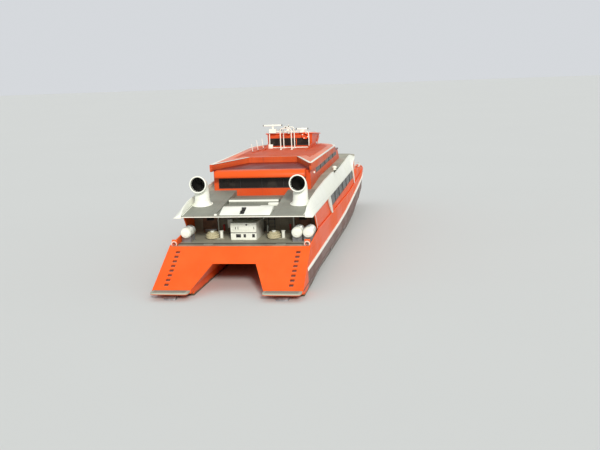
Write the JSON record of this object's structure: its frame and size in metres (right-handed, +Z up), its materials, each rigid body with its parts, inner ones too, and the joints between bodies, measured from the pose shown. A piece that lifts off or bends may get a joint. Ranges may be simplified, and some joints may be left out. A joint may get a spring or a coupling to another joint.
{
  "type": "twin-hulled passenger ferry",
  "caption": "Fast twin-hulled passenger ferry afloat: orange hulls and cabins, white side fairings, wheelhouse on a notched roof, ventilator cowls and an aft deck with life rafts.",
  "frame": {"origin": "on the centreline at the waterline, halfway between the stern end of the steps and the bow tips", "axes": "+X forward, +Y to port, +Z up"},
  "size_m": [39.9, 10.2432, 11.0805],
  "materials": {
    "orange_paint": "satin",
    "deep_red_paint": "satin",
    "white_paint": "satin",
    "deck_grey": "matte",
    "roof_grey": "matte",
    "dark_glass": "gloss",
    "dark_lining": "matte",
    "steel": "satin",
    "fender_white": "matte",
    "rope": "matte"
  },
  "bodies": {
    "vessel": {"hull_port": "orange_paint", "hull_starboard": "orange_paint", "side_wall_port": "orange_paint", "side_wall_starboard": "orange_paint", "upper_side_port": "orange_paint", "upper_side_starboard": "orange_paint", "cross_structure": "orange_paint", "cabin_front": "orange_paint", "upper_aft": "orange_paint", "visor": "orange_paint", "upper_front": "orange_paint", "crown": "orange_paint", "wheelhouse": "orange_paint", "wheelhouse_roof": "orange_paint", "low_roof": "deep_red_paint", "stern_step_port": "deck_grey", "stern_step_starboard": "deck_grey", "upper_floor": "deck_grey", "main_roof": "deck_grey", "aft_roof": "roof_grey", "fender_port": "fender_white", "fender_starboard": "fender_white", "fairing_port": "white_paint", "fairing_starboard": "white_paint", "cowl_port": "white_paint", "cowl_starboard": "white_paint", "roof_box": "white_paint", "pipe_arch": "white_paint", "whip_aerials": "white_paint", "raft_port": "white_paint", "raft_starboard": "white_paint", "raft_starboard_inner": "white_paint", "locker": "white_paint", "bow_rail": "white_paint", "side_glass_port": "dark_glass", "side_glass_starboard": "dark_glass", "upper_side_glass_port": "dark_glass", "upper_side_glass_starboard": "dark_glass", "front_glass": "dark_glass", "upper_aft_glass": "dark_glass", "upper_front_glass": "dark_glass", "wheelhouse_glass": "dark_glass", "wheelhouse_aft_glass": "dark_glass", "aft_wall": "dark_lining", "raft_cradle_port": "steel", "raft_cradle_starboard": "steel", "ladder": "steel", "windlass": "steel", "mooring_line_port": "rope", "mooring_line_starboard": "rope"},
    "aft_door_port": {"aft_door_port": "orange_paint"},
    "aft_door_starboard": {"aft_door_starboard": "orange_paint"},
    "steering_nozzle_port": {"steering_nozzle_port": "steel"},
    "steering_nozzle_starboard": {"steering_nozzle_starboard": "steel"},
    "reversing_bucket_port": {"reversing_bucket_port": "steel"},
    "reversing_bucket_starboard": {"reversing_bucket_starboard": "steel"},
    "radar_port_scanner": {"radar_port_scanner": "white_paint"},
    "radar_starboard_scanner": {"radar_starboard_scanner": "white_paint"},
    "locker_lid": {"locker_lid": "white_paint"},
    "windlass_drum": {"windlass_drum": "steel"}
  },
  "joints": [
    {"name": "radar_port_turn", "type": "hinge", "parent": "vessel", "child": "radar_port_scanner", "pos_m": [4.1, 1.42, 9.35], "axis": [0, 0, 1], "continuous": true},
    {"name": "radar_starboard_turn", "type": "hinge", "parent": "vessel", "child": "radar_starboard_scanner", "pos_m": [4.1, -1.2, 9], "axis": [0, 0, 1], "continuous": true},
    {"name": "aft_door_port_hinge", "type": "hinge", "parent": "vessel", "child": "aft_door_port", "pos_m": [-9.9005, 4.01, 3.5], "axis": [0, 0, -1], "range_deg": [0, 100]},
    {"name": "aft_door_starboard_hinge", "type": "hinge", "parent": "vessel", "child": "aft_door_starboard", "pos_m": [-9.9005, -4.01, 3.5], "axis": [0, 0, 1], "range_deg": [0, 100]},
    {"name": "locker_lid_hinge", "type": "hinge", "parent": "vessel", "child": "locker_lid", "pos_m": [-11.15, 0.39, 3.7205], "axis": [0, 1, 0], "range_deg": [0, 30]},
    {"name": "windlass_turn", "type": "hinge", "parent": "vessel", "child": "windlass_drum", "pos_m": [15.25, 0, 3.63], "axis": [0, 1, 0], "continuous": true},
    {"name": "steering_port", "type": "hinge", "parent": "vessel", "child": "steering_nozzle_port", "pos_m": [-19.05, 3.72, -0.17], "axis": [0, 0, 1], "range_deg": [-30, 30]},
    {"name": "bucket_port", "type": "hinge", "parent": "steering_nozzle_port", "child": "reversing_bucket_port", "pos_m": [-19.31, 3.72, -0.17], "axis": [0, -1, 0], "range_deg": [0, 70]},
    {"name": "steering_starboard", "type": "hinge", "parent": "vessel", "child": "steering_nozzle_starboard", "pos_m": [-19.05, -3.72, -0.17], "axis": [0, 0, 1], "range_deg": [-30, 30]},
    {"name": "bucket_starboard", "type": "hinge", "parent": "steering_nozzle_starboard", "child": "reversing_bucket_starboard", "pos_m": [-19.31, -3.72, -0.17], "axis": [0, -1, 0], "range_deg": [0, 70]}
  ]
}
